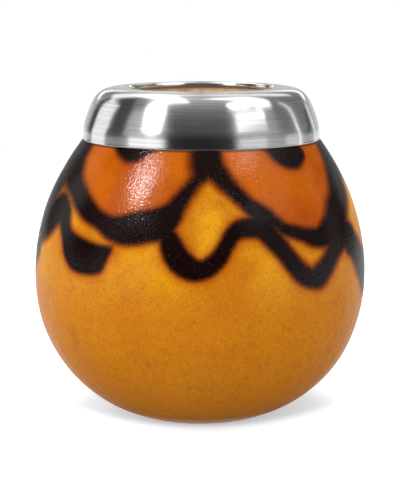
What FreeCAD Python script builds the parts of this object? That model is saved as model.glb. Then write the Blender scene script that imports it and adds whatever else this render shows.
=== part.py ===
"""Round mate gourd: a dried calabash cup with a domed sheet-steel ferrule bonded over its mouth.

The frame is the part's own: +Z up, origin at the centre of the flat that the gourd stands on.
Every piece is turned about the Z axis. The skin of the gourd is its natural one up to a narrow
ledge. Above the ledge the maker has turned the neck down, so that the ferrule slips over it, sits
on the ledge and carries the skin's line on. Its inner edge ends just over the cut mouth, whose wall
shows below it. Two beads of adhesive hold the ferrule and seal it.
"""
import FreeCAD, Part
import math
import os

# Driving sizes of the gourd, in millimetres.
BELLY_RADIUS = 50.0          # widest outside radius
BELLY_HEIGHT = 43.5          # height of that widest ring above the flat
SEAT_HEIGHT = 84.5           # height of the ledge that carries the ferrule's lower edge
FLAT_RADIUS = 14.0           # flat sanded on the underside, on which the gourd stands
WALL = 4.6                   # thickness of the dried shell
FLOOR_WALL = 5.2             # thickness of the shell over the flat

# Turned neck and cut mouth.
NECK_STRAIGHT = 2.6          # height of the upright part of the neck, from the ledge up
RIM_LAND = 6.0               # width of the flat rim round the cut mouth
MOUTH_WALL = 5.0             # height of the upright wall of the mouth, below that rim
NECK_OVERLAP = 4.0           # how far the neck is carried down into the body to join it

# Blossom scar, the dimple that the flower left in the underside.
SCAR_RADIUS = 5.0
SCAR_DEPTH = 0.9
NUB_RADIUS = 1.4
NUB_TIP_RADIUS = 0.8
NUB_HEIGHT = 0.5

# Ferrule, pressed from one sheet: a plain band, a domed skirt that rises gently up to the crest
# round the mouth, and a tight quarter roll that ends in a short upright lip.
MOUTH_RADIUS = 21.4          # clear radius inside the lip
ROLL_WIDTH = 1.1             # from the lip's face out to the crest
SKIRT_WIDTH = 13.1           # from the crest out to the lower edge
FERRULE_HEIGHT = 15.3        # from the lower edge up to the crest
SHEET = 0.6                  # thickness of the steel
BAND_HEIGHT = 3.8            # height of the band, up to the faint crease where the dome starts
BAND_LEAN = 0.3              # how far the band leans in over its height
SKIRT_LEAN = 3.65            # how far the dome, carried on straight, would lean in by the crest
ROLL_DROP = 1.0              # height of the quarter roll between the crest and the lip
LIP_DEPTH = 1.65             # depth of the lip's free edge below the crest

# Fits between the pieces.
EDGE_OVERHANG = 0.1          # how far the ferrule's lower edge stands out past the gourd's skin
SKIRT_GAP = 0.5              # adhesive line between the lower edge and the neck
MOUTH_STEP = 1.1             # how far the wall of the mouth stands back from the lip's face
CREST_GAP = 1.6              # adhesive line between the cut rim and the underside of the crest
SKIRT_BEAD_LIFT = 1.0        # the skirt's adhesive starts this far above the ledge
LIP_BEAD_WIDTH = 3.5         # width of the bead that lies on the cut rim, from the mouth out
CUT_OVERRUN = 1.0            # how far a cutter runs past the face that it opens

# Each curve of a section is one conic arc between two points, drawn towards the corner where its
# end directions meet. A fullness of 0 is the straight chord, sqrt(0.5) a quarter of an ellipse,
# and a larger one fills the corner more. A corner share is the corner's height between the ends.
HEEL_FULLNESS_SHARE = 0.81
HEEL_CORNER_SHARE = 0.117
SHOULDER_FULLNESS_SHARE = 1.16
SHOULDER_CORNER_SHARE = 0.518
HOLLOW_HEEL_FULLNESS_SHARE = 1.0
HOLLOW_SHOULDER_FULLNESS_SHARE = 1.4
HOLLOW_SHOULDER_CORNER_SHARE = 0.41
SKIRT_FULLNESS_SHARE = 2.16
ROLL_FULLNESS_SHARE = math.sqrt(0.5)
FULL_TURN = 360.0            # degrees

CREST_RADIUS = MOUTH_RADIUS + ROLL_WIDTH
FERRULE_RADIUS = CREST_RADIUS + SKIRT_WIDTH
TOP_HEIGHT = SEAT_HEIGHT + FERRULE_HEIGHT
LIP_TOP = TOP_HEIGHT - ROLL_DROP
LIP_EDGE = TOP_HEIGHT - LIP_DEPTH
SEAT_RADIUS = FERRULE_RADIUS - EDGE_OVERHANG
NECK_RADIUS = FERRULE_RADIUS - SHEET - SKIRT_GAP
BORE_RADIUS = MOUTH_RADIUS + MOUTH_STEP
RIM_HEIGHT = TOP_HEIGHT - SHEET - CREST_GAP
BORE_FLOOR = RIM_HEIGHT - MOUTH_WALL


def at(radius, height):
    """A point of a half section, drawn in the XZ plane."""
    return FreeCAD.Vector(radius, 0, height)


def straight_path(points):
    """The edges that join the points one after the other."""
    return [Part.LineSegment(start, end).toShape() for start, end in zip(points, points[1:])]


def conic(start, corner, end, fullness):
    """The arc from 'start' to 'end' whose end directions both point at 'corner'."""
    arc = Part.BSplineCurve()
    arc.buildFromPolesMultsKnots(poles=[start, corner, end], mults=[3, 3], knots=[0, 1],
                                 periodic=False, degree=2, weights=[1, fullness, 1])
    return arc.toShape()


def turned(edges):
    """The solid of revolution of a closed half section about the Z axis."""
    section = Part.Face(Part.Wire(edges))
    return section.revolve(at(0, 0), FreeCAD.Vector(0, 0, 1), FULL_TURN)


def cylinder(radius, low, high):
    return Part.makeCylinder(radius, high - low, at(0, low))


def between(low, high, share):
    return low + share * (high - low)


def body():
    """The natural part of the gourd up to the ledge, still filled in."""
    flat_edge = at(FLAT_RADIUS, 0)
    belly = at(BELLY_RADIUS, BELLY_HEIGHT)
    seat_edge = at(SEAT_RADIUS, SEAT_HEIGHT)
    heel_corner = at(BELLY_RADIUS, HEEL_CORNER_SHARE * BELLY_HEIGHT)
    shoulder_corner = at(BELLY_RADIUS, between(BELLY_HEIGHT, SEAT_HEIGHT, SHOULDER_CORNER_SHARE))
    return turned([conic(flat_edge, heel_corner, belly, HEEL_FULLNESS_SHARE),
                   conic(belly, shoulder_corner, seat_edge, SHOULDER_FULLNESS_SHARE)]
                  + straight_path([seat_edge, at(0, SEAT_HEIGHT), at(0, 0), flat_edge]))


def neck():
    """The neck that is turned down to fit inside the ferrule, still filled in."""
    foot = SEAT_HEIGHT - NECK_OVERLAP
    return turned(straight_path([at(0, foot),
                                 at(NECK_RADIUS, foot),
                                 at(NECK_RADIUS, SEAT_HEIGHT + NECK_STRAIGHT),
                                 at(BORE_RADIUS + RIM_LAND, RIM_HEIGHT),
                                 at(0, RIM_HEIGHT),
                                 at(0, foot)]))


def hollow():
    """The space inside the shell, which runs up to the cut mouth."""
    floor = at(0, FLOOR_WALL)
    belly = at(BELLY_RADIUS - WALL, BELLY_HEIGHT)
    bore_foot = at(BORE_RADIUS, BORE_FLOOR)
    heel_corner = at(belly.x, FLOOR_WALL)
    shoulder_corner = at(belly.x, between(BELLY_HEIGHT, BORE_FLOOR, HOLLOW_SHOULDER_CORNER_SHARE))
    return turned([conic(floor, heel_corner, belly, HOLLOW_HEEL_FULLNESS_SHARE),
                   conic(belly, shoulder_corner, bore_foot, HOLLOW_SHOULDER_FULLNESS_SHARE)]
                  + straight_path([bore_foot, at(0, BORE_FLOOR), floor]))


def blossom_scar():
    """Cutter for the scar: a shallow bowl, less the dry nub that stands in its middle."""
    bowl_radius = (SCAR_RADIUS ** 2 + SCAR_DEPTH ** 2) / (2 * SCAR_DEPTH)
    bowl = Part.makeSphere(bowl_radius, at(0, SCAR_DEPTH - bowl_radius))
    nub = Part.makeCone(NUB_RADIUS, NUB_TIP_RADIUS, NUB_HEIGHT,
                        at(0, SCAR_DEPTH), FreeCAD.Vector(0, 0, -1))
    return bowl.cut(nub)


def make_gourd_shell():
    """The calabash: skin, flat foot with its scar, ledge, turned neck and open mouth."""
    mouth = cylinder(BORE_RADIUS, BORE_FLOOR - CUT_OVERRUN, RIM_HEIGHT + CUT_OVERRUN)
    shell = body().fuse(neck()).cut(hollow()).cut(mouth).cut(blossom_scar())
    return shell.removeSplitter()


def skirt(foot, crest):
    """The ferrule's line from its lower edge up to the crest: the band, then the dome."""
    crease = at(foot.x - BAND_LEAN, foot.z + BAND_HEIGHT)
    corner = at(crease.x - SKIRT_LEAN, crest.z)
    return straight_path([foot, crease]) + [conic(crease, corner, crest, SKIRT_FULLNESS_SHARE)]


def roll(lip_top, crest):
    """The quarter roll of the ferrule, from its upright lip up to the crest."""
    return conic(lip_top, at(lip_top.x, crest.z), crest, ROLL_FULLNESS_SHARE)


def make_ferrule():
    """The steel rim, with its outside and its inside one sheet apart."""
    outer_foot = at(FERRULE_RADIUS, SEAT_HEIGHT)
    outer_crest = at(CREST_RADIUS, TOP_HEIGHT)
    inner_foot = at(FERRULE_RADIUS - SHEET, SEAT_HEIGHT)
    inner_crest = at(CREST_RADIUS, TOP_HEIGHT - SHEET)
    lip = [at(MOUTH_RADIUS, LIP_TOP),
           at(MOUTH_RADIUS, LIP_EDGE),
           at(MOUTH_RADIUS + SHEET, LIP_EDGE),
           at(MOUTH_RADIUS + SHEET, LIP_TOP)]
    return turned(skirt(outer_foot, outer_crest)
                  + [roll(lip[0], outer_crest)]
                  + straight_path(lip)
                  + [roll(lip[-1], inner_crest)]
                  + skirt(inner_foot, inner_crest)[::-1]
                  + straight_path([inner_foot, outer_foot]))


def under_skirt():
    """All the space under the skirt, from the ledge up to the inside of the crest."""
    foot = at(FERRULE_RADIUS - SHEET, SEAT_HEIGHT)
    crest = at(CREST_RADIUS, TOP_HEIGHT - SHEET)
    return turned(skirt(foot, crest)
                  + straight_path([crest, at(0, crest.z), at(0, foot.z), foot]))


def make_skirt_adhesive():
    """The bead that fills the space between the neck and the inside of the skirt."""
    layer = cylinder(FERRULE_RADIUS, SEAT_HEIGHT + SKIRT_BEAD_LIFT, RIM_HEIGHT)
    return under_skirt().common(layer).cut(neck())


def make_lip_adhesive():
    """The bead between the cut rim and the ferrule above it, which keeps the drink out."""
    over_rim = cylinder(BORE_RADIUS + LIP_BEAD_WIDTH, RIM_HEIGHT, TOP_HEIGHT)
    mouth = cylinder(BORE_RADIUS, RIM_HEIGHT - CUT_OVERRUN, TOP_HEIGHT)
    return under_skirt().common(over_rim).cut(mouth)


PIECES = {"gourd_shell": make_gourd_shell,
          "ferrule": make_ferrule,
          "skirt_adhesive": make_skirt_adhesive,
          "lip_adhesive": make_lip_adhesive}

os.makedirs("parts", exist_ok=True)
for name, make in PIECES.items():
    piece = make()
    piece.exportStep(os.path.join("parts", name + ".step"))
    box = piece.BoundBox
    print(name, "valid", piece.isValid(), "solids", len(piece.Solids),
          "volume %.1f mm3" % piece.Volume,
          "size %.2f x %.2f x %.2f" % (box.XLength, box.YLength, box.ZLength),
          "z %.2f to %.2f" % (box.ZMin, box.ZMax))
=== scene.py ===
"""Looks of the round mate gourd: a stained and burnt calabash under lacquer, with a steel ferrule.

Lengths are in millimetres up to the point where a mesh or a lamp is made. Azimuth 0 is the camera's
side, -Y, and it grows towards +X.
"""
import bpy
import math
import numpy as np
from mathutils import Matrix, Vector


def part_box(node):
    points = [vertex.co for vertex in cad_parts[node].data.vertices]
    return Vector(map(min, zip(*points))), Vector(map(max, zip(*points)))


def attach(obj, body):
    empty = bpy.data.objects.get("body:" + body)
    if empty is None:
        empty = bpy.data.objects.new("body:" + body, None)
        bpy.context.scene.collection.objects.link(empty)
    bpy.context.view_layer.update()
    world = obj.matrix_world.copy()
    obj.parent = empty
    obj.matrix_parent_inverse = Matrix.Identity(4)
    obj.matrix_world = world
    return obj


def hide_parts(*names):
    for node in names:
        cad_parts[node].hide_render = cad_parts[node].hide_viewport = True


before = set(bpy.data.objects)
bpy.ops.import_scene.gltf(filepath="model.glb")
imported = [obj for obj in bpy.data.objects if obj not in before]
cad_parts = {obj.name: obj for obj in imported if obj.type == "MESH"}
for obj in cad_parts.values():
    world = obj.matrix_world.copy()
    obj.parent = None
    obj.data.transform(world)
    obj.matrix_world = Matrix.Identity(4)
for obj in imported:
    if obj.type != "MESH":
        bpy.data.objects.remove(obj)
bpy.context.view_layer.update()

MM = 0.001

# Main sizes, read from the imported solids.
shell_low, shell_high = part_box("gourd_shell")
ferrule_low, ferrule_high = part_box("ferrule")
BELLY_RADIUS = shell_high.x / MM
RIM_HEIGHT = shell_high.z / MM
FERRULE_RADIUS = ferrule_high.x / MM
SEAT_HEIGHT = ferrule_low.z / MM
TOP_HEIGHT = ferrule_high.z / MM

# Sizes of the sections, as in the solids.
BELLY_HEIGHT = 43.5
FLAT_RADIUS = 14.0
WALL = 4.6
FLOOR_WALL = 5.2
NECK_STRAIGHT = 2.6
RIM_LAND = 6.0
SCAR_RADIUS = 5.0
SCAR_DEPTH = 0.9
MOUTH_RADIUS = 21.4
ROLL_WIDTH = 1.1
SHEET = 0.6
BAND_HEIGHT = 3.8
BAND_LEAN = 0.3
SKIRT_LEAN = 3.65
ROLL_DROP = 1.0
LIP_DEPTH = 1.65
EDGE_OVERHANG = 0.1
SKIRT_GAP = 0.5
MOUTH_STEP = 1.1
MOUTH_WALL = 5.0
HEEL_FULLNESS = 0.81
HEEL_CORNER = 0.117
SHOULDER_FULLNESS = 1.16
SHOULDER_CORNER = 0.518
HOLLOW_HEEL_FULLNESS = 1.0
HOLLOW_SHOULDER_FULLNESS = 1.4
HOLLOW_SHOULDER_CORNER = 0.41
SKIRT_FULLNESS = 2.16
ROLL_FULLNESS = math.sqrt(0.5)

CREST_RADIUS = MOUTH_RADIUS + ROLL_WIDTH
SEAT_RADIUS = FERRULE_RADIUS - EDGE_OVERHANG
NECK_RADIUS = FERRULE_RADIUS - SHEET - SKIRT_GAP
BORE_RADIUS = MOUTH_RADIUS + MOUTH_STEP
LIP_TOP = TOP_HEIGHT - ROLL_DROP
LIP_EDGE = TOP_HEIGHT - LIP_DEPTH
BORE_FLOOR = RIM_HEIGHT - MOUTH_WALL

# The photograph's camera, fitted to the outline of the gourd and the ferrule.
PHOTO_WIDTH = 400
PHOTO_HEIGHT = 497
FOCAL_PIXELS = 1500.0
SENSOR = 36.0
CAMERA_DISTANCE = 457.05
CAMERA_ELEVATION = math.radians(10.15)
AIM_X = -0.4
AIM_HEIGHT = 50.6

# Where the natural form leaves its circle: heights and how far the centre lies to the left there.
LEAN_HEIGHTS = (0.0, 10.0, 30.0, 62.0, 83.0)
LEAN_SHIFTS = (-0.30, -0.45, -0.60, -0.45, 0.0)


def point(radius, height):
    return np.array([radius, height], float)


def conic(start, corner, end, fullness, count=200):
    """The arc from start to end whose end directions both point at the corner."""
    t = np.linspace(0, 1, count)[:, None]
    a, b, c = (1 - t) ** 2, 2 * fullness * t * (1 - t), t ** 2
    return (a * start + b * corner + c * end) / (a + b + c)


def lengths(points):
    """How far along the line each point lies."""
    steps = np.linalg.norm(np.diff(points, axis=0), axis=1)
    return np.concatenate([[0], np.cumsum(steps)])


def evenly(points, step):
    """The same line with its points about one step apart."""
    points = np.asarray(points, float)
    along = lengths(points)
    marks = np.linspace(0, along[-1], max(2, int(round(along[-1] / step)) + 1))
    return np.stack([np.interp(marks, along, points[:, k]) for k in range(points.shape[1])], 1)


def between(low, high, share):
    return low + share * (high - low)


def smooth_between(low, high, x):
    t = np.clip((x - low) / (high - low), 0, 1)
    return t * t * (3 - 2 * t)


def joined(parts):
    """One line from parts that each start where the one before ends, and the part of each step."""
    line, owner = [parts[0]], [np.zeros(len(parts[0]) - 1, int)]
    for k, part in enumerate(parts[1:], 1):
        line.append(part[1:])
        owner.append(np.full(len(part) - 1, k))
    return np.vstack(line), np.concatenate(owner)


AXIS = 1e-6


def lathe(name, section, slots, segments, closed=False):
    """A mesh turned about the Z axis from a section that has the material on its left going up.

    A point on the axis becomes one vertex. slots holds the material of each step of the section.
    """
    turn = np.arange(segments) * (2 * math.pi / segments)
    vertices, rings, azimuths, places = [], [], [], []
    for k, (radius, height) in enumerate(section):
        on_axis = radius < AXIS
        angles = turn[:1] if on_axis else turn
        rings.append(np.full(segments, len(vertices)) if on_axis
                     else len(vertices) + np.arange(segments))
        for angle in angles:
            vertices.append((radius * math.sin(angle), -radius * math.cos(angle), height))
            azimuths.append(angle)
            places.append(k)
    faces, face_slots = [], []
    count = len(section)
    for k in range(count if closed else count - 1):
        low, high = rings[k], rings[(k + 1) % count]
        after_low, after_high = np.roll(low, -1), np.roll(high, -1)
        for a, b, c, d in zip(low.tolist(), after_low.tolist(),
                              after_high.tolist(), high.tolist()):
            corners = [a, b, c, d]
            faces.append([v for n, v in enumerate(corners) if v not in corners[:n]])
        face_slots += [int(slots[k])] * segments
    mesh = bpy.data.meshes.new(name)
    mesh.from_pydata([tuple(MM * x for x in v) for v in vertices], [], faces)
    mesh.polygons.foreach_set("material_index", face_slots)
    mesh.polygons.foreach_set("use_smooth", [True] * len(faces))
    return mesh, np.array(vertices), np.array(azimuths), np.array(places)


def linked(name, data):
    """A new object of the scene with a mesh, a lamp or a camera in it."""
    thing = bpy.data.objects.new(name, data)
    bpy.context.scene.collection.objects.link(thing)
    return thing


def place(mesh, name, node):
    """Puts a mesh into the scene as the piece that stands for a node."""
    piece = linked(name, mesh)
    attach(piece, "root")
    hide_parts(node)


# The gourd's section: skin from the blossom scar up to the ledge, then the cut flesh and the hollow.
SKIN, FLESH = 0, 1
SKIN_PARTS = 4
GOURD_SEGMENTS = 480
SHARP_SKIN = math.radians(38)

# Lengths of the mesh's steps along the section.
TRACE_STEP = 0.1
FINE_STEP = 0.62
HEEL_STEP = 1.2
LEDGE_STEP = 0.5
NECK_STEP = 1.3
CHAMFER_STEP = 2.4
RIM_STEP = 1.2
HOLLOW_STEP = 2.6

# The pattern, and so the fine mesh, starts above this height.
PATTERN_FOOT = 36.0

# The bowl of the scar between its nub and its edge, and where the flat's rings lie.
BOWL_FROM = 1.5
BOWL_MARGIN = 0.35
BOWL_POINTS = 7
FLAT_MARGIN = 0.4
FLAT_RINGS = (8.0, 11.0)

bowl_radius = (SCAR_RADIUS ** 2 + SCAR_DEPTH ** 2) / (2 * SCAR_DEPTH)
bowl_reach = np.linspace(BOWL_FROM, SCAR_RADIUS - BOWL_MARGIN, BOWL_POINTS)
bowl = np.stack([bowl_reach,
                 SCAR_DEPTH - bowl_radius + np.sqrt(bowl_radius ** 2 - bowl_reach ** 2)], 1)
nub = np.array([(0, 0.40), (0.45, 0.41), (0.8, 0.47), (1.05, 0.6), (1.25, 0.76)])
flat = np.array([(r, 0.0) for r in (SCAR_RADIUS + FLAT_MARGIN, *FLAT_RINGS, FLAT_RADIUS)])
heel = evenly(conic(point(FLAT_RADIUS, 0), point(BELLY_RADIUS, HEEL_CORNER * BELLY_HEIGHT),
                    point(BELLY_RADIUS, BELLY_HEIGHT), HEEL_FULLNESS), TRACE_STEP)
fine_from = int(np.argmax(heel[:, 1] > PATTERN_FOOT))
shoulder_corner = point(BELLY_RADIUS, between(BELLY_HEIGHT, SEAT_HEIGHT, SHOULDER_CORNER))
shoulder = conic(point(BELLY_RADIUS, BELLY_HEIGHT), shoulder_corner,
                 point(SEAT_RADIUS, SEAT_HEIGHT), SHOULDER_FULLNESS)
underside = np.vstack([nub, bowl, flat])
ledge = evenly([point(SEAT_RADIUS, SEAT_HEIGHT), point(NECK_RADIUS, SEAT_HEIGHT)], LEDGE_STEP)
neck = evenly([ledge[-1], point(NECK_RADIUS, SEAT_HEIGHT + NECK_STRAIGHT)], NECK_STEP)
chamfer = evenly([neck[-1], point(BORE_RADIUS + RIM_LAND, RIM_HEIGHT)], CHAMFER_STEP)
rim = evenly([chamfer[-1], point(BORE_RADIUS, RIM_HEIGHT)], RIM_STEP)
bore = evenly([rim[-1], point(BORE_RADIUS, BORE_FLOOR)], RIM_STEP)
inner_belly = point(BELLY_RADIUS - WALL, BELLY_HEIGHT)
inner_corner = point(inner_belly[0], between(BELLY_HEIGHT, BORE_FLOOR, HOLLOW_SHOULDER_CORNER))
inner_shoulder = conic(inner_belly, inner_corner, point(BORE_RADIUS, BORE_FLOOR),
                       HOLLOW_SHOULDER_FULLNESS)[::-1]
inner_heel = conic(point(0, FLOOR_WALL), point(inner_belly[0], FLOOR_WALL), inner_belly,
                   HOLLOW_HEEL_FULLNESS)[::-1]
parts = [underside, evenly(heel[:fine_from + 1], HEEL_STEP), evenly(heel[fine_from:], FINE_STEP),
         evenly(shoulder, FINE_STEP), ledge, neck, chamfer, rim, bore,
         evenly(inner_shoulder, HOLLOW_STEP), evenly(inner_heel, HOLLOW_STEP)]
gourd_section, gourd_owner = joined(parts)
gourd_slots = np.where(gourd_owner < SKIN_PARTS, SKIN, FLESH)
skin_points = int((gourd_owner < SKIN_PARTS).sum()) + 1
skin_line = gourd_section[:skin_points]

gourd_mesh, round_form, azimuth, place_on_line = lathe(
    "gourd", gourd_section, gourd_slots, GOURD_SEGMENTS)
height = round_form[:, 2]
on_skin = place_on_line < skin_points


def lean(z):
    """How far the natural form's centre lies along X at a height."""
    return np.interp(z, LEAN_HEIGHTS, LEAN_SHIFTS)


# Waves round the gourd: size in mm, how many go round, where they start, radians per mm of height.
LUMPS = [(0.16, 2, 0.7, 0), (0.13, 3, 2.4, 1 / 40), (0.07, 5, 0, 1 / 17), (0.06, 7, 1.3, -1 / 11),
         (0.035, 13, 0, 1 / 5.5), (0.03, 17, 0.6, -1 / 4.1)]
# Heights between which they fade in above the flat and out below the ledge, and the radius that
# they need to be whole.
LUMPS_START = (0, 9)
LUMPS_END = (70, 83)
LUMPS_RADIUS = 30

# The height below the ledge over which the shift and the lumps end.
LEAN_END = 1.0


def lumps(az, z):
    """Radial unevenness of the grown form."""
    fade = smooth_between(*LUMPS_START, z) * (1 - smooth_between(*LUMPS_END, z))
    return fade * sum(size * np.sin(count * az + start + twist * z)
                      for size, count, start, twist in LUMPS)


# The same shift and lumps go through the whole wall, so that it keeps its thickness.
radius = np.hypot(round_form[:, 0], round_form[:, 1])
above_neck = smooth_between(SEAT_HEIGHT - LEAN_END, SEAT_HEIGHT, height)
grown = np.where(radius > AXIS, lumps(azimuth, height) * np.clip(radius / LUMPS_RADIUS, 0, 1), 0)
grown = grown * (1 - above_neck)
gourd_form = round_form.copy()
gourd_form[:, 0] += grown * np.sin(azimuth) + lean(height) * (1 - above_neck)
gourd_form[:, 1] -= grown * np.cos(azimuth)

# The pattern. A stroke of the front is a list of points (x, y, width, blur) in pixels of the
# photograph, where the width is the stroke's and the blur is half of its soft edge.
FESTOON_LEFT = [(86.5, 140, 12, 2.2), (81.8, 152, 11, 2.2), (76.8, 162, 10.6, 2.4),
                (75, 172, 12.5, 2.6), (75.3, 181, 12.5, 2.8), (78.4, 191, 14, 3),
                (84.3, 203.3, 16.2, 3), (92.3, 214.2, 17, 3.2),
                (102, 221.5, 16.6, 3.5), (112, 227.6, 22.5, 3.5), (123.5, 230, 27.6, 3.5),
                (136, 228.2, 31, 3.2), (148, 226, 31, 3), (159, 223.9, 30.4, 3),
                (170.5, 214.8, 21.5, 3.5), (175.7, 207.8, 16.8, 4), (184.3, 196, 13, 4),
                (192, 186.5, 11, 4.5), (199, 177, 11, 5)]
OUTER_LEFT = [(68, 174, 6, 1.8), (63.5, 178, 7, 1.8), (59.8, 183, 7.4, 1.6), (55.8, 190, 7.2, 1.5),
              (51.8, 198.5, 6.2, 1.4), (48.6, 206, 5.4, 1.3), (45.8, 213, 4.4, 1.2)]
WAVE_LEFT = [(38.6, 246, 1.4, 1), (39.8, 240, 2, 1), (41.6, 234.5, 3.2, 1), (44, 229, 5, 1.2),
             (47.5, 222.5, 9, 1.5), (52, 216, 12.5, 1.8), (57, 211, 14.5, 2), (61.6, 207.8, 14.5, 2),
             (64.4, 213, 11.5, 2), (65.2, 221.5, 9.2, 2), (66.3, 231, 8.7, 2), (68.5, 240, 11, 2.2)]
WAVE_MIDDLE = [(169, 238, 17, 3), (172.3, 248, 22, 3), (177.2, 257.5, 23.5, 3),
               (183.8, 264.6, 24, 3), (192.3, 269.8, 21.5, 3), (201.5, 270.5, 19, 3),
               (211, 266, 17.5, 3), (219.5, 257.5, 16, 3), (225.5, 247.5, 14.5, 3),
               (231, 237.5, 15, 3), (238, 230.5, 17, 3), (247, 228, 19, 3),
               (257, 228, 19.5, 3), (266, 232, 18.8, 3), (275, 241.5, 17.5, 3), (284, 252, 16, 3),
               (293, 263.5, 16, 3), (301.5, 273, 17, 3.2), (309, 277.5, 18.5, 3.2),
               (316.5, 277.7, 18.5, 3.2), (322.8, 270.8, 15.2, 3), (328.2, 261.5, 12.8, 2.8),
               (333, 250.6, 12.4, 2.6), (337.2, 241, 14, 2.4), (341.6, 235.2, 16.5, 2),
               (346.3, 235.3, 15, 1.8), (350.2, 241.2, 11.4, 1.6), (354.8, 249, 9, 1.5),
               (358.5, 257.8, 7.8, 1.4), (361.4, 266.5, 5.4, 1.4), (363, 275, 3, 1.3)]
CENTRE_LEFT = [(199, 146, 14, 7), (199, 158, 15, 6), (200, 168, 15, 6), (204, 176, 11, 5)]
CENTRE_RIGHT = [(210.5, 146, 20, 3.5), (210.5, 158, 21, 3.5), (213, 167, 20.5, 4),
                (219, 175, 17.5, 4), (225.8, 183.2, 15.4, 4), (236, 193.2, 13.2, 3.8),
                (246.8, 203.8, 12.8, 3.4), (256.3, 211.4, 15.8, 3.2), (266, 218, 17, 3.2)]
FESTOON_RIGHT = [(268, 219, 13, 3.6), (276, 223, 10, 3.6), (284, 229, 10.5, 3.6),
                 (294.4, 231.9, 11.8, 3.2), (305, 234.9, 13, 3.2), (316.8, 237.4, 18.5, 3.2),
                 (326, 232.8, 21, 3.2),
                 (333.3, 222.5, 19.5, 3), (336, 209.5, 17.5, 2.8), (337.3, 198.5, 14, 2.8),
                 (336.8, 188, 12.8, 2.6), (335, 179, 11.2, 2.4), (332.2, 169, 8.8, 2.2),
                 (328.6, 159.5, 7.6, 2), (322, 147, 6, 2), (320, 142, 6, 2)]
RIM_LEFT = [(117, 147, 5, 3), (125, 150, 18, 3.5), (132, 152, 22, 3.5), (139, 150, 17, 3.5),
            (152, 147, 8, 3.5)]
RIM_RIGHT = [(267, 148, 6, 3.5), (276, 150, 16, 3.5), (285, 153, 26, 3), (292, 154, 27, 2.6),
             (297, 152, 22, 2.4)]
BLOB_SEAM = [(97, 252, 10, 2), (107, 249.5, 5, 2)]
STROKES = {"festoon_left": FESTOON_LEFT, "outer_left": OUTER_LEFT, "wave_left": WAVE_LEFT,
           "wave_middle": WAVE_MIDDLE, "centre_left": CENTRE_LEFT, "centre_right": CENTRE_RIGHT,
           "festoon_right": FESTOON_RIGHT, "rim_left": RIM_LEFT, "rim_right": RIM_RIGHT,
           "blob_seam": BLOB_SEAM}

# The corners of the left trough, which is burnt solid, in pixels of the photograph.
BLOB = [(63.2, 236), (72, 232.5), (77.2, 235.6), (85.5, 240.3), (96, 244.6), (105.5, 247.2),
        (111.4, 247.5), (110.5, 252), (107.9, 257), (105.5, 262.7), (102, 269.8), (97.5, 273.2),
        (89, 274), (79.6, 272.7), (71.3, 268.6), (66.6, 261.5), (63.6, 252)]
BLOB_BLUR = 2.6

# Strokes that the photograph doesn't show, (azimuth in degrees, height, width, blur) in mm.
HIDDEN = {
    "festoon_a": [(81, 86, 3.4, 1.0), (82, 80, 4, 1.1), (85, 74, 4.2, 1.2), (90, 68.5, 4.6, 1.2),
                  (98, 64, 5.4, 1.1), (109, 62, 7.4, 1.0), (120, 63, 7.8, 1.0), (129, 67, 5.6, 1.2),
                  (136, 73, 4.4, 1.2), (141, 79.5, 4, 1.2), (144, 86, 4.6, 1.2)],
    "festoon_b": [(150, 86, 4.8, 1.1), (152, 79, 4.6, 1.1), (156, 72.5, 4.4, 1.2),
                  (163, 66.5, 5, 1.1), (173, 63, 6.4, 1.0), (184, 62.5, 7.6, 1.0),
                  (195, 65.5, 6.4, 1.1), (203, 71, 4.8, 1.2), (208, 78, 4.2, 1.2), (211, 86, 4.4, 1.1)],
    "festoon_c": [(216, 86, 4.6, 1.1), (218, 79, 4.2, 1.2), (223, 72, 4.4, 1.2), (231, 66, 5, 1.1),
                  (242, 62.5, 6.6, 1.0), (254, 61, 7.6, 1.0), (266, 60, 7.2, 1.0),
                  (277, 60, 6.4, 1.0), (285, 60.5, 5, 1.0)],
    "wave_a": [(76, 46, 5.4, 1.0), (82, 43, 5.6, 1.0), (89, 42.5, 6, 1.0), (96, 46.5, 5.6, 1.0),
               (102, 53, 5, 1.0), (108, 58, 5, 1.0), (115, 57.5, 5.2, 1.0), (122, 51, 5.6, 1.0),
               (128, 45.5, 6.2, 1.0), (136, 43.5, 7, 1.0), (144, 47.5, 6, 1.0), (150, 55, 5.2, 1.0),
               (156, 61.5, 5, 1.0), (162, 62.5, 5, 1.0)],
    "wave_b": [(162, 62.5, 5, 1.0), (168, 57, 5, 1.0), (174, 50, 5.6, 1.0), (182, 46, 6.8, 1.0),
               (190, 47.5, 6.4, 1.0), (197, 54.5, 5.4, 1.0), (203, 61.5, 5, 1.0),
               (209, 63.5, 5, 1.0), (215, 58, 5.2, 1.0), (221, 50, 6, 1.0), (229, 45, 7.2, 1.0),
               (237, 47, 6.2, 1.0), (244, 54, 5.2, 1.0), (250, 58.5, 5, 1.0), (256, 57, 5, 1.0),
               (262, 51, 5.4, 1.0), (269, 47, 6, 1.0), (277, 49.5, 6, 1.0), (284, 53.5, 5, 1.0)],
    "rim_a": [(103, 84, 2, 1.0), (109, 83.5, 6, 1.0), (114, 83, 7.5, 1.0), (120, 84, 5, 1.0)],
    "rim_b": [(171, 84, 2, 1.0), (178, 83, 7, 1.0), (184, 83, 8, 1.0), (192, 84, 3, 1.0)],
    "rim_c": [(237, 84, 2.4, 1.0), (244, 83.5, 6.5, 1.0), (250, 83.2, 7, 1.0), (257, 84, 3, 1.0)],
}

# Strokes whose inside, up to the ledge, has taken the orange stain.
STAINED_FRONT = (FESTOON_LEFT, CENTRE_RIGHT[3:] + FESTOON_RIGHT[1:])
STAINED_HIDDEN = ("festoon_a", "festoon_b")
LEFT_NEIGHBOUR = ("festoon_c", "outer_left")
STAIN_TOP = 95.0

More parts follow.
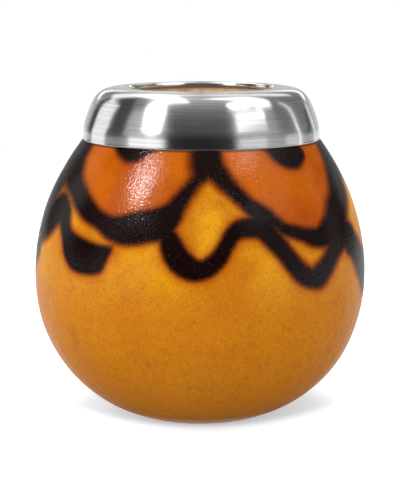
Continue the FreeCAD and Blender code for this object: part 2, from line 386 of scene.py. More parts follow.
eye = np.array([AIM_X, -CAMERA_DISTANCE * math.cos(CAMERA_ELEVATION),
                AIM_HEIGHT + CAMERA_DISTANCE * math.sin(CAMERA_ELEVATION)])
ahead = np.array([0, math.cos(CAMERA_ELEVATION), -math.sin(CAMERA_ELEVATION)])
upward = np.array([0, math.sin(CAMERA_ELEVATION), math.cos(CAMERA_ELEVATION)])
RAY_REACH = 75.0
RAY_STEPS = 1500

# The softest edge that a stroke of the front may have, in mm, however steeply the skin turns away.
BLUR_LIMIT = 1.7


def lifted(x, y):
    """The skin's azimuth and height behind pixels of the photograph, the nearest where one misses."""
    x, y = np.atleast_1d(x), np.atleast_1d(y)
    ray = (ahead + ((x - PHOTO_WIDTH / 2) / FOCAL_PIXELS)[:, None] * np.array([1.0, 0, 0])
           + ((PHOTO_HEIGHT / 2 - y) / FOCAL_PIXELS)[:, None] * upward)
    reach = np.linspace(CAMERA_DISTANCE - RAY_REACH, CAMERA_DISTANCE + RAY_REACH / 2, RAY_STEPS)
    spots = eye + reach[None, :, None] * ray[:, None, :]
    z = spots[..., 2]
    side = spots[..., 0] - lean(z)
    outside = np.hypot(side, spots[..., 1]) - np.interp(z, skin_line[:, 1], skin_line[:, 0])
    inside = outside <= 0
    first = np.where(inside.any(1), inside.argmax(1), outside.argmin(1))
    rows = np.arange(len(x))
    return np.arctan2(side[rows, first], -spots[rows, first, 1]), z[rows, first]


def on_surface(az, z):
    """Points of the smooth skin, in mm."""
    r = np.interp(z, skin_line[:, 1], skin_line[:, 0])
    return np.stack([r * np.sin(az) + lean(z), -r * np.cos(az), z], 1)


def flowing(points, per_span=8):
    """A smooth line through the points, by Catmull and Rom's rule."""
    p = np.asarray(points, float)
    p = np.vstack([2 * p[0] - p[1], p, 2 * p[-1] - p[-2]])
    t = np.arange(per_span)[:, None] / per_span
    out = []
    for a, b, c, d in zip(p, p[1:], p[2:], p[3:]):
        out.append(0.5 * (2 * b + (c - a) * t + (2 * a - 5 * b + 4 * c - d) * t ** 2
                          + (3 * b - a - 3 * c + d) * t ** 3))
    return np.vstack(out + [p[-2:-1]])


def front_stroke(points):
    """(middle, half width, blur) along a stroke of the photograph, in mm on the skin."""
    s = flowing(points)
    along = np.gradient(s[:, :2], axis=0)
    along /= np.linalg.norm(along, axis=1)[:, None]
    across = np.stack([-along[:, 1], along[:, 0]], 1)
    half = s[:, 2:3] / 2
    one = s[:, :2] - across * half
    other = s[:, :2] + across * half
    ends = [on_surface(*lifted(e[:, 0], e[:, 1])) for e in (one, other)]
    middle = (ends[0] + ends[1]) / 2
    az = np.arctan2(middle[:, 0] - lean(middle[:, 2]), -middle[:, 1])
    middle = on_surface(az, middle[:, 2])
    half_mm = np.linalg.norm(ends[0] - ends[1], axis=1) / 2
    return middle, half_mm, np.minimum(s[:, 3] * half_mm / s[:, 2] * 2, BLUR_LIMIT)


def hidden_stroke(points):
    s = flowing(points)
    return on_surface(np.radians(s[:, 0]), s[:, 1]), s[:, 2] / 2, s[:, 3]


# Vertices further below the pattern than this need no distance to it. A distance of FAR is none.
FOOT_MARGIN = 6
FAR = 30.0

# How near to a stroke, in mm, a distance to it is worked out, and how sharply strokes merge.
NEAR = 16.0
SMOOTHNESS = 3.0

skin_spots = np.where(on_skin & (height > PATTERN_FOOT - FOOT_MARGIN))[0]
spots_round = on_surface(azimuth[skin_spots], height[skin_spots])


def stroke_field(middle, half, blur):
    """For each skin vertex, how far outside the stroke it lies, in blurs and in mm."""
    in_blurs = np.full(len(spots_round), FAR)
    in_mm = np.full(len(spots_round), FAR)
    reach = NEAR + half.max()
    near = ((spots_round > middle.min(0) - reach) & (spots_round < middle.max(0) + reach)).all(1)
    near = np.where(near)[0]
    v = spots_round[near]
    best_blurs, best_mm = in_blurs[near], in_mm[near]
    for a, b, h0, h1, s0, s1 in zip(middle, middle[1:], half, half[1:], blur, blur[1:]):
        run = b - a
        t = np.clip((v - a) @ run / max(run @ run, 1e-9), 0, 1)
        outside = np.linalg.norm(v - a - t[:, None] * run, axis=1) - (h0 + t * (h1 - h0))
        best_mm = np.minimum(best_mm, outside)
        best_blurs = np.minimum(best_blurs, outside / (s0 + t * (s1 - s0)))
    in_blurs[near], in_mm[near] = best_blurs, best_mm
    return in_blurs, in_mm


def inside_outline(u, v, outline):
    """Whether points lie inside a closed outline, by the even-odd rule."""
    inside = np.zeros(len(u), bool)
    for (u0, v0), (u1, v1) in zip(outline, np.roll(outline, -1, axis=0)):
        crosses = (v0 > v) != (v1 > v)
        run = np.where(crosses, (v - v0) / (v1 - v0 + 1e-12), 0)
        inside ^= crosses & (u < u0 + run * (u1 - u0))
    return inside


def patch_field(corners, blur_pixels):
    """The same as stroke_field for a solid patch given by its corners in the photograph."""
    line = flowing(np.vstack([corners, corners[:1]]), 4)[:-1]
    az, z = lifted(line[:, 0], line[:, 1])
    edge = on_surface(az, z)
    closed = np.vstack([edge, edge[:1]])
    thin = np.full(len(closed), 1e-3)
    mm_per_pixel = CAMERA_DISTANCE / FOCAL_PIXELS
    in_blurs, in_mm = stroke_field(closed, thin, thin + blur_pixels * mm_per_pixel)
    within = inside_outline(wrapped(azimuth[skin_spots], az.mean()), height[skin_spots],
                            np.stack([az, z], 1))
    return np.where(within, -in_blurs, in_blurs), np.where(within, -in_mm, in_mm)


def wrapped(az, middle):
    """Azimuths within half a turn of the middle one."""
    return (az - middle + math.pi) % (2 * math.pi) - math.pi + middle


fields = [stroke_field(*front_stroke(points)) for points in STROKES.values()]
fields += [stroke_field(*hidden_stroke(points)) for points in HIDDEN.values()]
fields.append(patch_field(np.array(BLOB, float), BLOB_BLUR))
blurs = np.stack([f[0] for f in fields])
millimetres = np.stack([f[1] for f in fields])
lowest = blurs.min(0)
edge_values = lowest - np.log(np.exp(-SMOOTHNESS * (blurs - lowest)).sum(0)) / SMOOTHNESS
reach_values = millimetres.min(0)


def festoon_outline(az, z):
    """The outline of a festoon's inside, closed above the ledge."""
    az, z = np.concatenate([az[:1], az, az[-1:]]), np.concatenate([[STAIN_TOP], z, [STAIN_TOP]])
    return np.stack([az, z], 1)


outlines = []
for points in STAINED_FRONT:
    s = np.array(points, float)
    outlines.append(festoon_outline(*lifted(s[:, 0], s[:, 1])))
for name in STAINED_HIDDEN:
    s = np.array(HIDDEN[name], float)
    outlines.append(festoon_outline(np.radians(s[:, 0]), s[:, 1]))
left = np.array(HIDDEN[LEFT_NEIGHBOUR[0]], float)
right_az, right_z = lifted(*np.array(STROKES[LEFT_NEIGHBOUR[1]], float)[::-1, :2].T)
outlines.append(festoon_outline(
    np.concatenate([np.radians(left[:, 0]), right_az + 2 * math.pi]),
    np.concatenate([left[:, 1], right_z])))
stained = np.zeros(len(skin_spots), bool)
for outline in outlines:
    middle_az = (outline[:, 0].min() + outline[:, 0].max()) / 2
    stained |= inside_outline(wrapped(azimuth[skin_spots], middle_az), height[skin_spots], outline)


def give(mesh, name, values, default):
    """Stores one number per vertex on the mesh."""
    every = np.full(len(mesh.vertices), default, np.float32)
    every[skin_spots] = values
    mesh.attributes.new(name, "FLOAT", "POINT").data.foreach_set("value", every)


give(gourd_mesh, "burn_edge", np.clip(edge_values, -FAR, FAR), FAR)
give(gourd_mesh, "burn_reach", np.clip(reach_values, -FAR, FAR), FAR)
give(gourd_mesh, "stain", stained.astype(float), 0.0)

# The iron and the flame leave the skin a little lower, in a step at the edge, given in blurs.
BURN_DEPTH = 0.06
BURN_STEP = (-1.5, 0.5)
sunk = BURN_DEPTH * (1 - smooth_between(*BURN_STEP, edge_values))
gourd_form[skin_spots, 0] -= sunk * np.sin(azimuth[skin_spots])
gourd_form[skin_spots, 1] += sunk * np.cos(azimuth[skin_spots])
gourd_mesh.vertices.foreach_set("co", (gourd_form * MM).ravel())
gourd_mesh.update()
gourd_mesh.set_sharp_from_angle(angle=SHARP_SKIN)

# The ferrule's section: outside from the lower edge over the crest to the lip, back underneath.
FERRULE_SEGMENTS = 512
SHARP_STEEL = math.radians(50)
EDGE_ROUND = 0.28
CREASE_ROUND = 1.3
DOME_POINTS = 600
BEND_POINTS = 16
END_POINTS = 5
BAND_STEP = 0.3
OUTER_STEP = 0.35
ROLL_STEP = 0.12
INNER_ROLL_STEP = 0.6
INNER_STEP = 0.9
END_MARGIN = 0.05


def skirt_line(foot_radius, crest_height):
    crease = point(foot_radius - BAND_LEAN, SEAT_HEIGHT + BAND_HEIGHT)
    dome = conic(crease, point(crease[0] - SKIRT_LEAN, crest_height),
                 point(CREST_RADIUS, crest_height), SKIRT_FULLNESS, DOME_POINTS)
    foot = point(foot_radius, SEAT_HEIGHT)
    below = crease + (foot - crease) * CREASE_ROUND / BAND_HEIGHT
    past = int(np.argmax(dome[:, 1] > crease[1] + CREASE_ROUND))
    bend = conic(below, crease, dome[past], 1.0, BEND_POINTS)
    return np.vstack([evenly([foot, below], BAND_STEP), bend[1:], dome[past + 1:]])


def round_end(start, middle, end):
    return conic(start, middle, end, ROLL_FULLNESS, END_POINTS)


outer = evenly(skirt_line(FERRULE_RADIUS, TOP_HEIGHT), OUTER_STEP)
crest = point(CREST_RADIUS, TOP_HEIGHT)
roll = evenly(conic(crest, point(MOUTH_RADIUS, TOP_HEIGHT), point(MOUTH_RADIUS, LIP_TOP),
                    ROLL_FULLNESS), ROLL_STEP)
lip = np.array([point(MOUTH_RADIUS, LIP_TOP), point(MOUTH_RADIUS, LIP_EDGE + EDGE_ROUND)])
lip_end = np.vstack([
    round_end(lip[-1], point(MOUTH_RADIUS, LIP_EDGE), point(MOUTH_RADIUS + EDGE_ROUND, LIP_EDGE)),
    round_end(point(MOUTH_RADIUS + SHEET - EDGE_ROUND, LIP_EDGE),
              point(MOUTH_RADIUS + SHEET, LIP_EDGE),
              point(MOUTH_RADIUS + SHEET, LIP_EDGE + EDGE_ROUND))])
inner_crest = point(CREST_RADIUS, TOP_HEIGHT - SHEET)
inner_roll = evenly(conic(point(MOUTH_RADIUS + SHEET, LIP_TOP),
                          point(MOUTH_RADIUS + SHEET, TOP_HEIGHT - SHEET), inner_crest,
                          ROLL_FULLNESS), INNER_ROLL_STEP)
inner = evenly(skirt_line(FERRULE_RADIUS - SHEET, TOP_HEIGHT - SHEET)[::-1], INNER_STEP)
inner_end = point(FERRULE_RADIUS - SHEET, SEAT_HEIGHT)
foot_end = np.vstack([
    round_end(point(inner_end[0], SEAT_HEIGHT + EDGE_ROUND), inner_end,
              point(inner_end[0] + EDGE_ROUND, SEAT_HEIGHT)),
    round_end(point(FERRULE_RADIUS - EDGE_ROUND, SEAT_HEIGHT), point(FERRULE_RADIUS, SEAT_HEIGHT),
              point(FERRULE_RADIUS, SEAT_HEIGHT + EDGE_ROUND))])
outer = outer[outer[:, 1] > SEAT_HEIGHT + EDGE_ROUND + END_MARGIN]
inner = inner[inner[:, 1] > SEAT_HEIGHT + EDGE_ROUND + END_MARGIN]
ferrule_section = np.vstack([outer, roll[1:], lip_end, inner_roll, inner[1:], foot_end])
ferrule_mesh = lathe("ferrule_steel", ferrule_section, np.zeros(len(ferrule_section), int),
                     FERRULE_SEGMENTS, closed=True)[0]
ferrule_mesh.set_sharp_from_angle(angle=SHARP_STEEL)


class Nodes:
    """A material's or the world's nodes, added one line each."""

    def __init__(self, owner):
        owner.use_nodes = True
        self.tree = owner.node_tree
        self.tree.nodes.clear()

    def add(self, kind, *inputs, **settings):
        """Adds a node. inputs are its sockets in order, or a dict of names."""
        node = self.tree.nodes.new(kind)
        for name, value in settings.items():
            setattr(node, name, value)
        pairs = []
        for number, value in enumerate(inputs):
            pairs += list(value.items()) if isinstance(value, dict) else [(number, value)]
        for key, value in pairs:
            if isinstance(value, bpy.types.NodeSocket):
                self.tree.links.new(value, node.inputs[key])
            else:
                node.inputs[key].default_value = value
        return node

    def math(self, operation, *inputs):
        return self.add("ShaderNodeMath", *inputs, operation=operation).outputs[0]

    def step(self, value, low, high, to_low=0.0, to_high=1.0):
        """A smooth change from one number to another as a value goes from low to high."""
        return self.add("ShaderNodeMapRange", value, low, high, to_low, to_high,
                        interpolation_type="SMOOTHSTEP").outputs[0]

    def mix(self, share, one, other, blend="MIX"):
        node = self.add("ShaderNodeMix", data_type="RGBA", blend_type=blend)
        for socket, value in ((node.inputs[0], share), (node.inputs[6], one),
                              (node.inputs[7], other)):
            if isinstance(value, bpy.types.NodeSocket):
                self.tree.links.new(value, socket)
            else:
                socket.default_value = value
        return node.outputs[2]

    def attribute(self, name):
        return self.add("ShaderNodeAttribute", attribute_name=name).outputs["Fac"]

    def noise(self, vector, size, detail=2.0, rough=0.5, stretch=(1, 1, 1)):
        """Noise whose blotches are about that many mm across, from 0 to 1."""
        scaled = self.add("ShaderNodeVectorMath", vector,
                          tuple(s / (size * MM) for s in stretch), operation="MULTIPLY")
        node = self.add("ShaderNodeTexNoise", {"Vector": scaled.outputs[0], "Scale": 1.0,
                                               "Detail": detail, "Roughness": rough})
        return node.outputs["Fac"]

    def finish(self, shader, kind="ShaderNodeOutputMaterial"):
        self.add(kind, {"Surface": shader})


def rgb(red, green, blue):
    return (red, green, blue, 1.0)


def grey(level):
    return rgb(level, level, level)


def in_metres(lengths_mm):
    return [length * MM for length in lengths_mm]


# Colours of the skin.
GOLD = rgb(0.79, 0.364, 0.007)
GOLD_DEEP = rgb(0.57, 0.190, 0.006)
ORANGE = rgb(0.57, 0.125, 0.001)
ORANGE_DEEP = rgb(0.43, 0.073, 0.001)
SCORCH = rgb(0.18, 0.030, 0.001)
CHAR = rgb(0.007, 0.002, 0.002)
WORN_CHAR_AND_SEAM_SHADE = rgb(0.07, 0.026, 0.012)
BASE_BROWN = rgb(0.53, 0.176, 0.013)
SPECK = rgb(0.26, 0.08, 0.007)
DULLED = rgb(0.62, 0.55, 0.5)
REDDENED = rgb(0.84, 0.60, 0.4)

# Sizes of the skin's features and depths of its pits and waves, in mm.
BROAD_SIZE = 16
BLOTCH_SIZE = 5
MOTTLE_SIZE = 2.2
GRAIN_SIZE = 0.9
FINE_SIZE = 0.45
SPECK_SPACING = 2.7
PIT_SIZE = 0.6
PIT_DEPTH = 0.085
WAVE_SIZE = 3.5
WAVE_DEPTH = 0.12

# Heights in mm between which the gold grows darker towards the bottom, turns to a darker brown near the
# foot and gets mottled.
DEEPER = (63, 37)
BROWNER = (34, 2)
MORE_MOTTLED = (62, 26)

# How far below the ferrule's edge the painted shade of the seam starts, and where it is full, in mm.
SEAM_SHADE_FROM = 0.75
SEAM_SHADE_TO = 0.25


def skin_material():
    material = bpy.data.materials.new("lacquered_skin")
    n = Nodes(material)
    where = n.add("ShaderNodeTexCoord").outputs["Object"]
    up = n.add("ShaderNodeSeparateXYZ", where).outputs["Z"]

    broad = n.noise(where, BROAD_SIZE, 3)
    blotch = n.noise(where, BLOTCH_SIZE, 4, 0.6)
    grain = n.noise(where, GRAIN_SIZE, 3, 0.6)
    fine = n.noise(where, FINE_SIZE, 2, 0.5)

    # Ground colours: gold below and between the festoons, orange inside them.
    gold = n.mix(n.step(broad, 0.38, 0.66), GOLD, GOLD_DEEP)
    gold = n.mix(n.step(up, *in_metres(DEEPER), 0.0, 0.88), gold, GOLD_DEEP)
    gold = n.mix(n.step(up, *in_metres(BROWNER), 0.0, 0.72), gold, BASE_BROWN)
    orange = n.mix(n.step(broad, 0.36, 0.7), ORANGE, ORANGE_DEEP)
    ground = n.mix(n.attribute("stain"), gold, orange)

    # Heat has browned the skin round the burnt lines.
    reach = n.math("ADD", n.attribute("burn_reach"), n.math("MULTIPLY", blotch, 2.4))
    warmed = n.step(reach, 0.8, 4.8, 0.74, 0.0)
    ground = n.mix(warmed, ground, ORANGE_DEEP)

    # Grain, blotches and mottling of the rind.
    ground = n.mix(n.step(grain, 0.34, 0.72, 0.0, 0.30), ground,
                   n.mix(1.0, ground, DULLED, "MULTIPLY"))
    ground = n.mix(n.step(fine, 0.36, 0.64, 0.0, 0.42), ground,
                   n.mix(1.0, ground, REDDENED, "MULTIPLY"))
    ground = n.mix(n.step(blotch, 0.52, 0.78, 0.0, 0.26), ground, SPECK)
    mottled = n.math("MULTIPLY", n.step(n.noise(where, MOTTLE_SIZE, 4, 0.65), 0.50, 0.72),
                     n.step(up, *in_metres(MORE_MOTTLED), 0.10, 0.34))
    ground = n.mix(mottled, ground, SPECK)

    # Painted shade in the seam under the ferrule's lower edge, darkening the skin where the edge
    # shadows it.
    seam = n.step(up, *in_metres((SEAT_HEIGHT - SEAM_SHADE_FROM, SEAT_HEIGHT - SEAM_SHADE_TO)), 0.0, 0.85)
    ground = n.mix(seam, ground, WORN_CHAR_AND_SEAM_SHADE)

    # Small dark specks of the dried skin.
    cells = n.add("ShaderNodeTexVoronoi", {"Vector": where, "Scale": 1 / (SPECK_SPACING * MM),
                                           "Randomness": 1.0})
    rare = n.step(n.add("ShaderNodeSeparateColor", cells.outputs["Color"]).outputs[0], 0.74, 0.80)
    dot = n.math("MULTIPLY", rare, n.step(cells.outputs["Distance"], 0.15, 0.05))
    ground = n.mix(n.math("MULTIPLY", dot, 0.7), ground, SPECK)

    # The burnt lines: a grainy edge that is scorched brown, and a charred middle.
    wobble = n.math("ADD", n.math("MULTIPLY", n.math("SUBTRACT", grain, 0.5), 0.9),
                    n.math("MULTIPLY", n.math("SUBTRACT", fine, 0.5), 0.9))
    edge = n.math("ADD", n.attribute("burn_edge"), wobble)
    scorched = n.step(edge, 2.0, -0.4)
    charred = n.step(edge, 1.3, -0.9)
    worn = n.math("MULTIPLY", n.step(fine, 0.60, 0.74), n.step(grain, 0.45, 0.65))
    char = n.mix(n.math("MULTIPLY", worn, 0.7), CHAR, WORN_CHAR_AND_SEAM_SHADE)
    colour = n.mix(n.math("MULTIPLY", scorched, 0.85), ground, SCORCH)
    colour = n.mix(charred, colour, char)

    # Lacquer over fine leathery pits and low waves.
    pits = n.noise(where, PIT_SIZE, 1, 0.5)
    pitted = n.add("ShaderNodeBump", {"Strength": 1.0, "Distance": PIT_DEPTH * MM, "Height": pits})
    waves = n.noise(where, WAVE_SIZE, 2, 0.5)
    wavy = n.add("ShaderNodeBump", {"Strength": 0.3, "Distance": WAVE_DEPTH * MM, "Height": waves,
                                    "Normal": pitted.outputs[0]})
    lacquer = n.step(charred, 0.2, 0.9, 0.28, 0.31)
    shader = n.add("ShaderNodeBsdfPrincipled", {
        "Base Color": colour, "Roughness": 0.6, "Specular IOR Level": 0.0,
        "Coat Weight": lacquer, "Coat Roughness": 0.15, "Coat IOR": 1.5,
        "Sheen Weight": 0.10, "Sheen Roughness": 0.25,
        "Normal": wavy.outputs[0], "Coat Normal": wavy.outputs[0]})
    n.finish(shader.outputs[0])
    return material


def flesh_material():
    material = bpy.data.materials.new("dry_flesh")
    n = Nodes(material)
    where = n.add("ShaderNodeTexCoord").outputs["Object"]
    fibre = n.noise(where, 1.3, 4, 0.65, stretch=(1, 1, 0.35))
    broad = n.noise(where, 9, 3, 0.5)
    colour = n.mix(n.step(fibre, 0.3, 0.7), rgb(0.90, 0.62, 0.37), rgb(0.66, 0.42, 0.23))
    colour = n.mix(n.step(broad, 0.45, 0.75, 0.0, 0.5), colour, rgb(0.46, 0.27, 0.13))
    bump = n.add("ShaderNodeBump", {"Strength": 0.6, "Distance": 0.3 * MM, "Height": fibre})
    shader = n.add("ShaderNodeBsdfPrincipled", {
        "Base Color": colour, "Roughness": 0.8, "Specular IOR Level": 0.2,
        "Normal": bump.outputs[0]})
    n.finish(shader.outputs[0])
    return material


def steel_material():
    material = bpy.data.materials.new("turned_steel")
    n = Nodes(material)
    where = n.add("ShaderNodeTexCoord").outputs["Object"]
    lines = n.noise(where, 1.0, 3, 0.6, stretch=(0.02, 0.02, 3.5))
    finer = n.noise(where, 1.0, 2, 0.5, stretch=(0.05, 0.05, 9.0))
    smudge = n.noise(where, 7, 3, 0.5)
    colour = n.mix(n.step(lines, 0.3, 0.7), rgb(0.83, 0.83, 0.82), rgb(0.68, 0.68, 0.68))
    rough = n.math("ADD", n.step(smudge, 0.3, 0.7, 0.15, 0.19),
                   n.math("MULTIPLY", lines, 0.04))
    height_lines = n.math("ADD", n.math("MULTIPLY", lines, 0.6), n.math("MULTIPLY", finer, 0.4))
    bump = n.add("ShaderNodeBump", {"Strength": 0.10, "Distance": 0.02 * MM,
                                    "Height": height_lines})
    tangent = n.add("ShaderNodeTangent", direction_type="RADIAL", axis="Z")
    shader = n.add("ShaderNodeBsdfPrincipled", {
        "Base Color": colour, "Metallic": 1.0, "Roughness": rough, "Anisotropic": 0.85,
        "Anisotropic Rotation": 0.25, "Tangent": tangent.outputs[0], "Normal": bump.outputs[0]})
    n.finish(shader.outputs[0])
    return material


def adhesive_material():
    material = bpy.data.materials.new("set_adhesive")
    n = Nodes(material)
    where = n.add("ShaderNodeTexCoord").outputs["Object"]
    grit = n.noise(where, 1.6, 3, 0.5)
    colour = n.mix(n.step(grit, 0.3, 0.7), rgb(0.60, 0.52, 0.38), rgb(0.46, 0.38, 0.26))
    bump = n.add("ShaderNodeBump", {"Strength": 0.5, "Distance": 0.2 * MM, "Height": grit})
    shader = n.add("ShaderNodeBsdfPrincipled", {
        "Base Color": colour, "Roughness": 0.65, "Normal": bump.outputs[0]})
    n.finish(shader.outputs[0])
    return material


gourd_mesh.materials.append(skin_material())
gourd_mesh.materials.append(flesh_material())
ferrule_mesh.materials.append(steel_material())
place(gourd_mesh, "gourd", "gourd_shell")
place(ferrule_mesh, "ferrule_steel", "ferrule")
adhesive = adhesive_material()
for node in ("skirt_adhesive", "lip_adhesive"):
    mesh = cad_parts[node].data
    mesh.materials.clear()
    mesh.materials.append(adhesive)

# Camera.
camera_data = bpy.data.cameras.new("camera")
camera_data.sensor_width = SENSOR
camera_data.lens = SENSOR * FOCAL_PIXELS / PHOTO_HEIGHT
camera = linked("camera", camera_data)
camera.location = Vector(eye * MM)
camera.rotation_mode = "QUATERNION"
camera.rotation_quaternion = Vector(ahead).to_track_quat("-Z", "Y")
bpy.context.scene.camera = camera

# Floor: a pale disc that runs out to the white of the backdrop. It is lifted towards white, and less
# in the patch under the gourd, which is a painted shadow that deepens the gourd's rendered shadow
# there. Lengths here are in metres.
FLOOR_RADIUS = 1.5
FLOOR_RINGS = 6
FLOOR_SPOKES = 64
SHADE_LIFT = 0.40
OPEN_LIFT = 0.70

# The patch is where a circle about a point behind the gourd and one about the gourd overlap.
SHADE_BACK = 0.029
SHADE_FRONT_EDGE = (0.043, 0.051)
SHADE_SIDE_EDGE = (0.034, 0.050)

# The floor takes less of the gourd's orange light near the foot, and turns white further out.
TINT_EDGE = (0.03, 0.11)
WHITE_EDGE = (0.20, 0.75)


def floor_material():
    material = bpy.data.materials.new("pale_floor")
    n = Nodes(material)
    path = n.add("ShaderNodeLightPath")
    seen = n.math("MAXIMUM", path.outputs["Is Camera Ray"], path.outputs["Is Glossy Ray"])
    seen = n.math("MAXIMUM", seen, path.outputs["Is Transmission Ray"])
    where = n.add("ShaderNodeTexCoord").outputs["Object"]
    out = n.add("ShaderNodeVectorMath", where, operation="LENGTH").outputs["Value"]
    tint = n.mix(n.step(out, *TINT_EDGE), rgb(0.66, 0.80, 0.93), rgb(0.76, 0.80, 0.83))
    ground = n.add("ShaderNodeBsdfDiffuse", {"Color": tint})
    # Painted shadow: the lift is lower in a patch under the gourd, so the floor is darker there.
    from_shade = n.add("ShaderNodeVectorMath", where, (0, SHADE_BACK, 0), operation="DISTANCE")
    outside = n.math("MAXIMUM", n.step(from_shade.outputs["Value"], *SHADE_FRONT_EDGE),
                     n.step(out, *SHADE_SIDE_EDGE))
    level = n.math("MULTIPLY_ADD", outside, OPEN_LIFT - SHADE_LIFT, SHADE_LIFT)
    lift = n.add("ShaderNodeEmission", {"Color": grey(1),
                                        "Strength": n.math("MULTIPLY", seen, level)})
    near = n.add("ShaderNodeAddShader", ground.outputs[0], lift.outputs[0])
    white = n.add("ShaderNodeEmission", {"Color": grey(1), "Strength": 1.0})
    far = n.math("MULTIPLY", n.step(out, *WHITE_EDGE), seen)
    n.finish(n.add("ShaderNodeMixShader", far, near.outputs[0], white.outputs[0]).outputs[0])
    return material


floor_mesh = bpy.data.meshes.new("floor")
floor_points = [(0.0, 0.0, 0.0)]
floor_points += [(FLOOR_RADIUS * k / FLOOR_RINGS * math.sin(2 * math.pi * j / FLOOR_SPOKES),
                  FLOOR_RADIUS * k / FLOOR_RINGS * math.cos(2 * math.pi * j / FLOOR_SPOKES), 0.0)
                 for k in range(1, FLOOR_RINGS + 1) for j in range(FLOOR_SPOKES)]
floor_faces = [(0, 1 + (j + 1) % FLOOR_SPOKES, 1 + j) for j in range(FLOOR_SPOKES)]
for ring in range(1, FLOOR_RINGS):
    inner_ring, outer_ring = 1 + (ring - 1) * FLOOR_SPOKES, 1 + ring * FLOOR_SPOKES
    floor_faces += [(inner_ring + j, inner_ring + (j + 1) % FLOOR_SPOKES,
                     outer_ring + (j + 1) % FLOOR_SPOKES, outer_ring + j)
                    for j in range(FLOOR_SPOKES)]
floor_mesh.from_pydata(floor_points, [], floor_faces)
floor_mesh.materials.append(floor_material())
floor = linked("floor", floor_mesh)


# Softboxes, aimed at a point above the foot from azimuth and elevation in degrees. Then come the
# distance in metres, the width and height in degrees as seen from there, and the brightness.
LAMP_AIM = 0.07
GLOSS_LAMPS = {
    "key_panel": (-52.5, 34, 1.2, 19, 16, 1.8),
    "key_core": (-58.5, 45.5, 1.15, 6, 15, 105.0),
    "fill_panel": (55, 34, 1.2, 30, 9, 2.1),
    "sheen_panel": (60, 58, 1.2, 18, 8, 15.0)}
LIGHTING_LAMPS = {
    "soft_left": (-56, 34, 1.3, 50, 40, 2.15),
    "soft_right": (52, 36, 1.3, 50, 40, 0.8),
    "front_fill": (-4, 28, 1.3, 70, 26, 2.15),
    "front_low": (-4, 9, 1.3, 70, 12, 1.6),
    "side_left": (-102, 8, 1.3, 44, 34, 1.6),
    "side_right": (102, 8, 1.3, 44, 34, 2.05)}

# Panels that face down, for gloss only: across, back, width and length in metres, turn in degrees
# and brightness.
CEILING = 1.0
CEILING_LAMPS = {
    "top_left": (-0.26, 0.50, 0.27, 1.5, 0, 1.5),
    "top_right": (0.62, 0.10, 1.15, 0.44, -31, 1.5)}


def area_lamp(name, wide, tall, radiance):
    """A rectangular lamp of even brightness, sized in metres, that the camera doesn't see."""
    light = bpy.data.lights.new(name, "AREA")
    light.shape = "RECTANGLE"
    light.size = wide
    light.size_y = tall
    light.energy = radiance * math.pi * light.size * light.size_y
    lamp = linked(name, light)
    lamp.visible_camera = False
    return lamp


def softbox(name, azimuth_degrees, elevation_degrees, distance, wide, tall, radiance):
    lamp = area_lamp(name, 2 * distance * math.tan(math.radians(wide / 2)),
                     2 * distance * math.tan(math.radians(tall / 2)), radiance)
    a, e = math.radians(azimuth_degrees), math.radians(elevation_degrees)
    outward = Vector((math.sin(a) * math.cos(e), -math.cos(a) * math.cos(e), math.sin(e)))
    lamp.location = outward * distance + Vector((0, 0, LAMP_AIM))
    lamp.rotation_mode = "QUATERNION"
    lamp.rotation_quaternion = (-outward).to_track_quat("-Z", "Y")
    return lamp


for name, values in GLOSS_LAMPS.items():
    softbox(name, *values).visible_diffuse = False
for name, (across, back, wide, long, turn_degrees, radiance) in CEILING_LAMPS.items():
    panel = area_lamp(name, wide, long, radiance)
    panel.location = (across, back, CEILING)
    panel.rotation_euler = (0, 0, math.radians(turn_degrees))
    panel.visible_diffuse = False
for name, values in LIGHTING_LAMPS.items():
    softbox(name, *values).visible_glossy = False

# Dark cards, which only reflections see: rows of (distance, height) in metres.
CARD_LIFT = 0.001
CARD_SPOKES = 24
ROOM_CARD = [(0.12, CARD_LIFT), (0.62, CARD_LIFT), (0.62, 0.25)]
TABLE_CARD = [(0.024, CARD_LIFT), (0.06, 2 * CARD_LIFT), (0.26, 2 * CARD_LIFT)]


def dark_card(name, rows, half_angle, level, side_level):
    """A card round the camera's side, darkest towards it and of its side level at its two ends."""
    turns = [math.radians(half_angle * (2 * k / CARD_SPOKES - 1)) for k in range(CARD_SPOKES + 1)]
    spots = [(out * math.sin(turn), -out * math.cos(turn), up) for out, up in rows for turn in turns]
    width = CARD_SPOKES + 1
    faces = [(r * width + k, r * width + k + 1, (r + 1) * width + k + 1, (r + 1) * width + k)
             for r in range(len(rows) - 1) for k in range(CARD_SPOKES)]
    mesh = bpy.data.meshes.new(name)
    mesh.from_pydata(spots, [], faces)
    material = bpy.data.materials.new(name + "_cloth")
    n = Nodes(material)
    where = n.add("ShaderNodeTexCoord").outputs["Object"]
    x, y, _ = n.add("ShaderNodeSeparateXYZ", where).outputs
    turn = n.math("ABSOLUTE", n.math("ARCTAN2", x, n.math("MULTIPLY", y, -1.0)))
    across = n.step(turn, math.radians(half_angle / 3), math.radians(half_angle))
    colour = n.mix(across, grey(level), grey(side_level))
    n.finish(n.add("ShaderNodeBsdfDiffuse", {"Color": colour}).outputs[0])
    mesh.materials.append(material)
    card = linked(name, mesh)
    card.visible_camera = False
    card.visible_diffuse = False
    card.visible_shadow = False
    card.visible_transmission = False


dark_card("room_card", ROOM_CARD, 31, 0.015, 0.015)
dark_card("table_card", TABLE_CARD, 105, 0.16, 1.0)


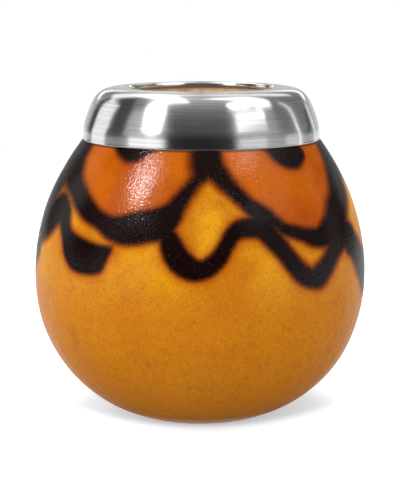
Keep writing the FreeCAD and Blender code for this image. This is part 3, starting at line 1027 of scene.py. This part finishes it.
# The room that reflections see: its level up to the ceiling, and its windows and dark corners as
# azimuths, elevations and softness in degrees, slant in degrees per degree, and level.
ROOM_LEVEL = 0.17
CEILING_LEVEL = 0.38
CEILING_EDGE = (40, 72)
PANELS = [(-34, 34, -20, 36, 6, 0.0, 0.055), (-30, 32, -20, 11, 6, 0.0, 0.03),
          (-152, -143, -20, 26, 1.5, 0.0, 0.42), (-143, -131.5, -20, 27, 0.8, 0.0, 0.05),
          (-131.5, -105.5, -20, 32, 1.2, 0.0, 1.08), (-131.5, -105, 30, 62, 1.5, 0.8, 1.08),
          (-105.5, -82.5, -20, 33, 1.5, 0.0, 0.06), (-58, -20, 31, 51, 2, 1.8, 0.06),
          (-74, -36, -20, 7, 4, 0.0, 1.45), (-82.5, -60, 12, 36, 3, 0.0, 0.52),
          (34, 84, 6, 33, 7, 0.0, 0.38), (36, 66, -20, 7, 3, 0.0, 0.80),
          (66, 88, -20, 7, 3, 0.0, 0.27), (88, 107, -20, 7, 3, 0.0, 0.62),
          (108.3, 111.8, -20, 40, 0.6, 0.0, 1.6), (112, 121, -20, 3, 3, 0.0, 0.45),
          (112, 150, 3, 50, 3, 0.0, 0.20), (118.5, 127.5, -20, 13, 1, -1.2, 0.03),
          (139, 146, -20, 12, 1, 0.0, 0.9), (146, 158, -20, 12, 1, 0.0, 0.4),
          (159, 170, -20, 3, 1.5, 0.0, 0.15)]

# Bands towards the back, beyond an azimuth on both sides: elevations, softness, level.
BACK_FROM = 151
BACK_BANDS = [(-20, 7, 1, 0.62), (6.5, 10, 1, 0.26), (10.5, 15.5, 1, 1.7), (16, 26, 1.5, 0.22),
              (28, 42, 1.5, 1.3), (44, 90, 3, 0.62)]


def studio():
    """White towards the camera, and the room for everything else."""
    world = bpy.data.worlds.new("studio")
    bpy.context.scene.world = world
    n = Nodes(world)
    direction = n.add("ShaderNodeTexCoord").outputs["Generated"]
    x, y, z = n.add("ShaderNodeSeparateXYZ", direction).outputs
    az = n.math("MULTIPLY", n.math("ARCTAN2", x, n.math("MULTIPLY", y, -1.0)), 180 / math.pi)
    el = n.math("MULTIPLY", n.math("ARCSINE", z), 180 / math.pi)

    def window(az_from, az_to, el_from, el_to, soft, slant):
        turned = n.math("ADD", az, n.math("MULTIPLY", el, slant))
        sides = n.math("MULTIPLY", n.step(turned, az_from - soft, az_from + soft),
                       n.step(turned, az_to + soft, az_to - soft))
        ends = n.math("MULTIPLY", n.step(el, el_from - soft, el_from + soft),
                      n.step(el, el_to + soft, el_to - soft))
        return n.math("MULTIPLY", sides, ends)

    room = n.mix(n.step(el, *CEILING_EDGE), grey(ROOM_LEVEL), grey(CEILING_LEVEL))
    panels = list(PANELS)
    for el_from, el_to, soft, level in BACK_BANDS:
        panels += [(-180, -BACK_FROM, el_from, el_to, soft, 0.0, level),
                   (BACK_FROM, 180, el_from, el_to, soft, 0.0, level)]
    colour = room
    for *edges, level in panels:
        colour = n.mix(window(*edges), colour, grey(level))
    path = n.add("ShaderNodeLightPath")
    colour = n.mix(path.outputs["Is Camera Ray"], colour, rgb(1, 1, 1))
    n.finish(n.add("ShaderNodeBackground", {"Color": colour, "Strength": 1.0}).outputs[0],
             "ShaderNodeOutputWorld")


studio()
bpy.context.scene.view_settings.view_transform = "Standard"
